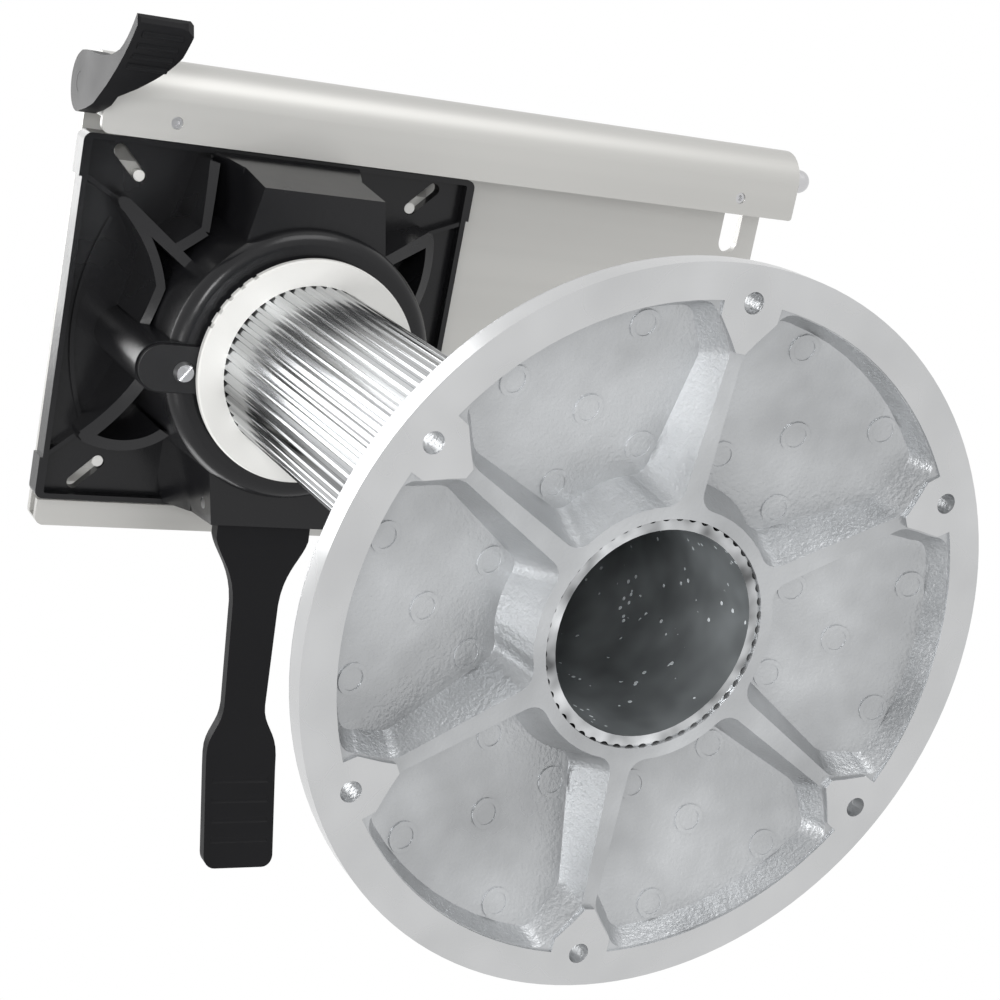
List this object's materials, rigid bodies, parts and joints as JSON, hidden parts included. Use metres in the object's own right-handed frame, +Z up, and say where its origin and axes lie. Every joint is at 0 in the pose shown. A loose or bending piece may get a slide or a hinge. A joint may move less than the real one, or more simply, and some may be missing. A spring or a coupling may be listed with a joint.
{
  "type": "boat seat pedestal",
  "caption": "Boat seat pedestal: ribbed round base, fluted post and a ribbed mount that swivels and slides, each with its own lock lever.",
  "frame": {"origin": "centre of the base's bolt circle, on the base's lower face", "axes": "+Z up the post, +Y along the seat slide towards its long end, +X towards the deep rail with the slide lever"},
  "size_m": [0.3494, 0.382, 0.379],
  "materials": {
    "base_casting": "as cast, satin",
    "post": "bright anodised",
    "slide": "satin anodised",
    "black_casting": "black gloss powder coat on cast aluminium",
    "black_plate": "black satin coat on steel",
    "black_lever": "black satin glass-filled nylon",
    "nylon": "white nylon",
    "steel": "stainless, brushed"
  },
  "bodies": {
    "base": {"base_casting": "base_casting", "post_tube": "post", "swivel_bushing": "nylon", "thrust_disc": "nylon"},
    "mount": {"swivel_housing": "black_casting", "retainer_tab": "black_plate", "retainer_screw": "steel", "lever_pin": "steel", "lever_spring": "steel", "slide_plate": "slide", "carriage_screws": "steel", "locating_pegs": "nylon", "glide_flat": "nylon", "glide_tall": "nylon", "glide_top": "nylon", "lock_rack": "steel", "rack_screws": "steel"},
    "swivel_lever": {"swivel_lever": "black_lever"},
    "lock_pin": {"lock_pin": "steel"},
    "seat_slide": {"seat_plate": "slide", "bearing_front": "nylon", "bearing_rear": "nylon", "slide_stop": "nylon", "adjuster_screws": "steel"},
    "slide_lever": {"lock_rod": "steel", "slide_lever": "black_lever", "lock_dog": "steel", "rod_cap": "steel", "lever_roll_pin": "steel"}
  },
  "joints": [
    {"name": "seat_swivel", "type": "hinge", "parent": "base", "child": "mount", "pos_m": [0, 0, 0.32], "axis": [0, 0, 1], "continuous": true},
    {"name": "swivel_lever_pivot", "type": "hinge", "parent": "mount", "child": "swivel_lever", "pos_m": [-0.065, 0, 0.315], "axis": [0, 1, 0], "range_deg": [0, 20]},
    {"name": "lock_pin_slide", "type": "slide", "parent": "mount", "child": "lock_pin", "axis": [1, 0, 0], "range_m": [0, 0.00495]},
    {"name": "seat_slide", "type": "slide", "parent": "mount", "child": "seat_slide", "axis": [0, 1, 0], "range_m": [-0.127, 0]},
    {"name": "slide_lever_pivot", "type": "hinge", "parent": "seat_slide", "child": "slide_lever", "pos_m": [0.097, 0, 0.3575], "axis": [0, 1, 0], "range_deg": [-32, 0]}
  ],
  "couplings": [
    {"joint": "lock_pin_slide", "follows": "swivel_lever_pivot", "m_per_rad": 0.01418}
  ]
}
